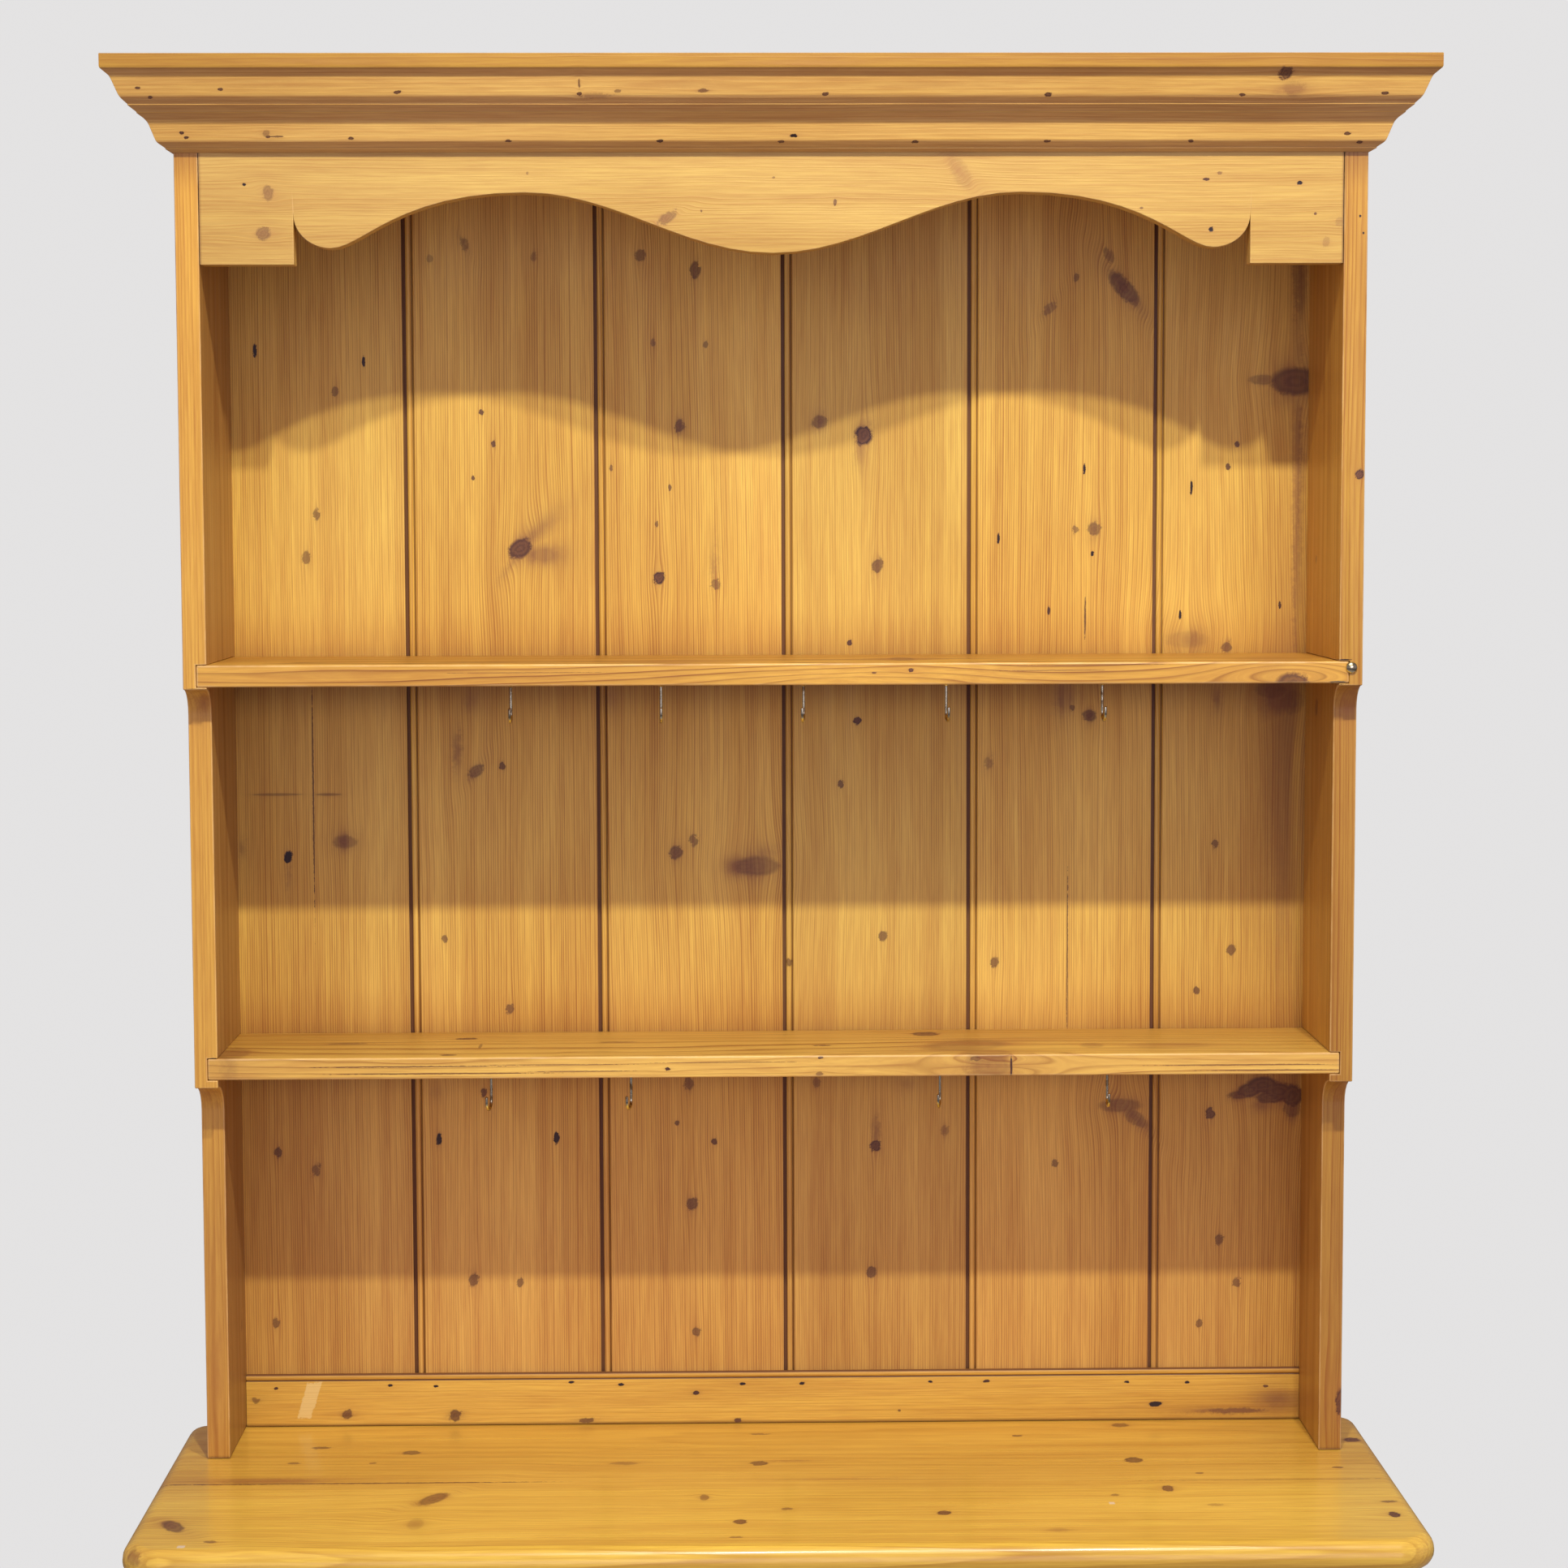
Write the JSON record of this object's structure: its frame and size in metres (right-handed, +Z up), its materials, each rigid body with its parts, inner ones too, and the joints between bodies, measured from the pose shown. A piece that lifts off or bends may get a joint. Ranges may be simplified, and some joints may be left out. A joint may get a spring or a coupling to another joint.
{
  "type": "welsh dresser",
  "caption": "Pine welsh dresser: open plate rack with cornice, wavy frieze, beaded boards and cup hooks, over a base with drawers and a panelled cupboard.",
  "frame": {"origin": "on the floor, under the middle of the overall box", "axes": "+Z up, +X to the right seen from the front, -Y towards the front"},
  "size_m": [1.1026, 0.3862, 2.004],
  "materials": {
    "waxed_pine": "waxed, semi-matt, knotty",
    "pale_pine": "waxed, paler, fine grain",
    "back_pine": "waxed, darker, upright grain",
    "inner_pine": "bare, matt",
    "hook_chrome": "bright plated",
    "hinge_brass": "dull"
  },
  "bodies": {
    "carcass": {"rack_side_left": "waxed_pine", "rack_side_right": "waxed_pine", "rack_top_board": "waxed_pine", "frieze": "pale_pine", "upper_shelf": "waxed_pine", "lower_shelf": "waxed_pine", "back_board_1": "back_pine", "back_board_2": "back_pine", "back_board_3": "back_pine", "back_board_4": "back_pine", "back_board_5": "back_pine", "back_board_6": "back_pine", "back_bottom_rail": "back_pine", "cornice_front": "pale_pine", "cornice_left": "pale_pine", "cornice_right": "pale_pine", "cup_hook_1": "hook_chrome", "cup_hook_2": "hook_chrome", "cup_hook_3": "hook_chrome", "cup_hook_4": "hook_chrome", "cup_hook_5": "hook_chrome", "cup_hook_6": "hook_chrome", "cup_hook_7": "hook_chrome", "cup_hook_8": "hook_chrome", "cup_hook_9": "hook_chrome", "dome_head_pin": "hook_chrome", "worktop": "waxed_pine", "base_side_left": "waxed_pine", "base_side_right": "waxed_pine", "base_bottom_board": "inner_pine", "base_shelf": "inner_pine", "base_back_panel": "inner_pine", "stile_left": "waxed_pine", "stile_right": "waxed_pine", "top_rail": "waxed_pine", "bottom_rail": "waxed_pine", "drawer_deck": "waxed_pine", "drawer_divider": "waxed_pine", "hinge_left_upper_frame_leaf": "hinge_brass", "hinge_left_lower_frame_leaf": "hinge_brass", "hinge_right_upper_frame_leaf": "hinge_brass", "hinge_right_lower_frame_leaf": "hinge_brass"},
    "drawer_left": {"drawer_left_front": "waxed_pine", "drawer_left_box": "inner_pine", "drawer_left_bottom": "inner_pine", "drawer_left_knob": "pale_pine"},
    "drawer_right": {"drawer_right_front": "waxed_pine", "drawer_right_box": "inner_pine", "drawer_right_bottom": "inner_pine", "drawer_right_knob": "pale_pine"},
    "door_left": {"door_left_frame": "waxed_pine", "door_left_panel": "waxed_pine", "door_left_knob": "pale_pine", "hinge_left_upper_door_leaf": "hinge_brass", "hinge_left_lower_door_leaf": "hinge_brass"},
    "door_right": {"door_right_frame": "waxed_pine", "door_right_panel": "waxed_pine", "door_right_knob": "pale_pine", "hinge_right_upper_door_leaf": "hinge_brass", "hinge_right_lower_door_leaf": "hinge_brass"}
  },
  "joints": [
    {"name": "drawer_left_slide", "type": "slide", "parent": "carcass", "child": "drawer_left", "axis": [0, -1, 0], "range_m": [0, 0.24]},
    {"name": "drawer_right_slide", "type": "slide", "parent": "carcass", "child": "drawer_right", "axis": [0, -1, 0], "range_m": [0, 0.24]},
    {"name": "door_left_hinge", "type": "hinge", "parent": "carcass", "child": "door_left", "pos_m": [-0.4615, -0.16905, 0.35], "axis": [0, 0, -1], "range_deg": [0, 170]},
    {"name": "door_right_hinge", "type": "hinge", "parent": "carcass", "child": "door_right", "pos_m": [0.4615, -0.16905, 0.35], "axis": [0, 0, 1], "range_deg": [0, 170]}
  ]
}
